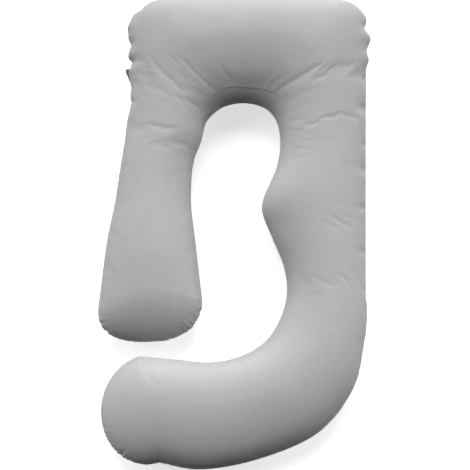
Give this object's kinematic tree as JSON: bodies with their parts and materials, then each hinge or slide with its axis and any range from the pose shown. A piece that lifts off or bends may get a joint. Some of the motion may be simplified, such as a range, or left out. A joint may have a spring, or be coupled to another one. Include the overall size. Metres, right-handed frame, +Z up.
{
  "type": "nursing pillow",
  "caption": "Full-body nursing and pregnancy pillow: a stuffed roll bent into a hook, with a short arm, belly bump and curled leg section, in a zipped grey jersey cover.",
  "frame": {"origin": "under the middle of the overall box, on the surface that the pillow lies on", "axes": "+Z up from the surface that the pillow lies on, +Y towards the head edge, +X towards the straight back side that holds the zipper"},
  "size_m": [0.826, 1.45, 0.2008],
  "materials": {
    "jersey_grey": "grey marl cotton jersey, matt",
    "liner_white": "plain white polyester liner cloth",
    "fibre_fill": "loose white polyester fibre",
    "label_dark": "dark woven label, blank",
    "zip_tape_grey": "woven polyester zipper tape",
    "zip_coil_grey": "moulded nylon coil",
    "zip_metal": "nickel-plated zinc"
  },
  "bodies": {
    "pillow": {"cover_front_panel": "jersey_grey", "cover_back_panel": "jersey_grey", "liner_front_panel": "liner_white", "liner_back_panel": "liner_white", "filling": "fibre_fill", "side_label": "label_dark", "zip_tape_upper": "zip_tape_grey", "zip_tape_lower": "zip_tape_grey", "zip_coil_upper": "zip_coil_grey", "zip_coil_lower": "zip_coil_grey", "zip_top_stop_upper": "zip_metal", "zip_top_stop_lower": "zip_metal", "zip_bottom_stop": "zip_metal"},
    "slider": {"zip_slider": "zip_metal"},
    "pull": {"zip_pull": "zip_metal"}
  },
  "joints": [
    {"name": "slider_travel", "type": "slide", "parent": "pillow", "child": "slider", "axis": [0, -1, 0], "range_m": [0, 0.623]},
    {"name": "pull_swing", "type": "hinge", "parent": "slider", "child": "pull", "pos_m": [0.4112, 0.474, 0.084], "axis": [0, 0, 1], "range_deg": [0, 180]}
  ]
}
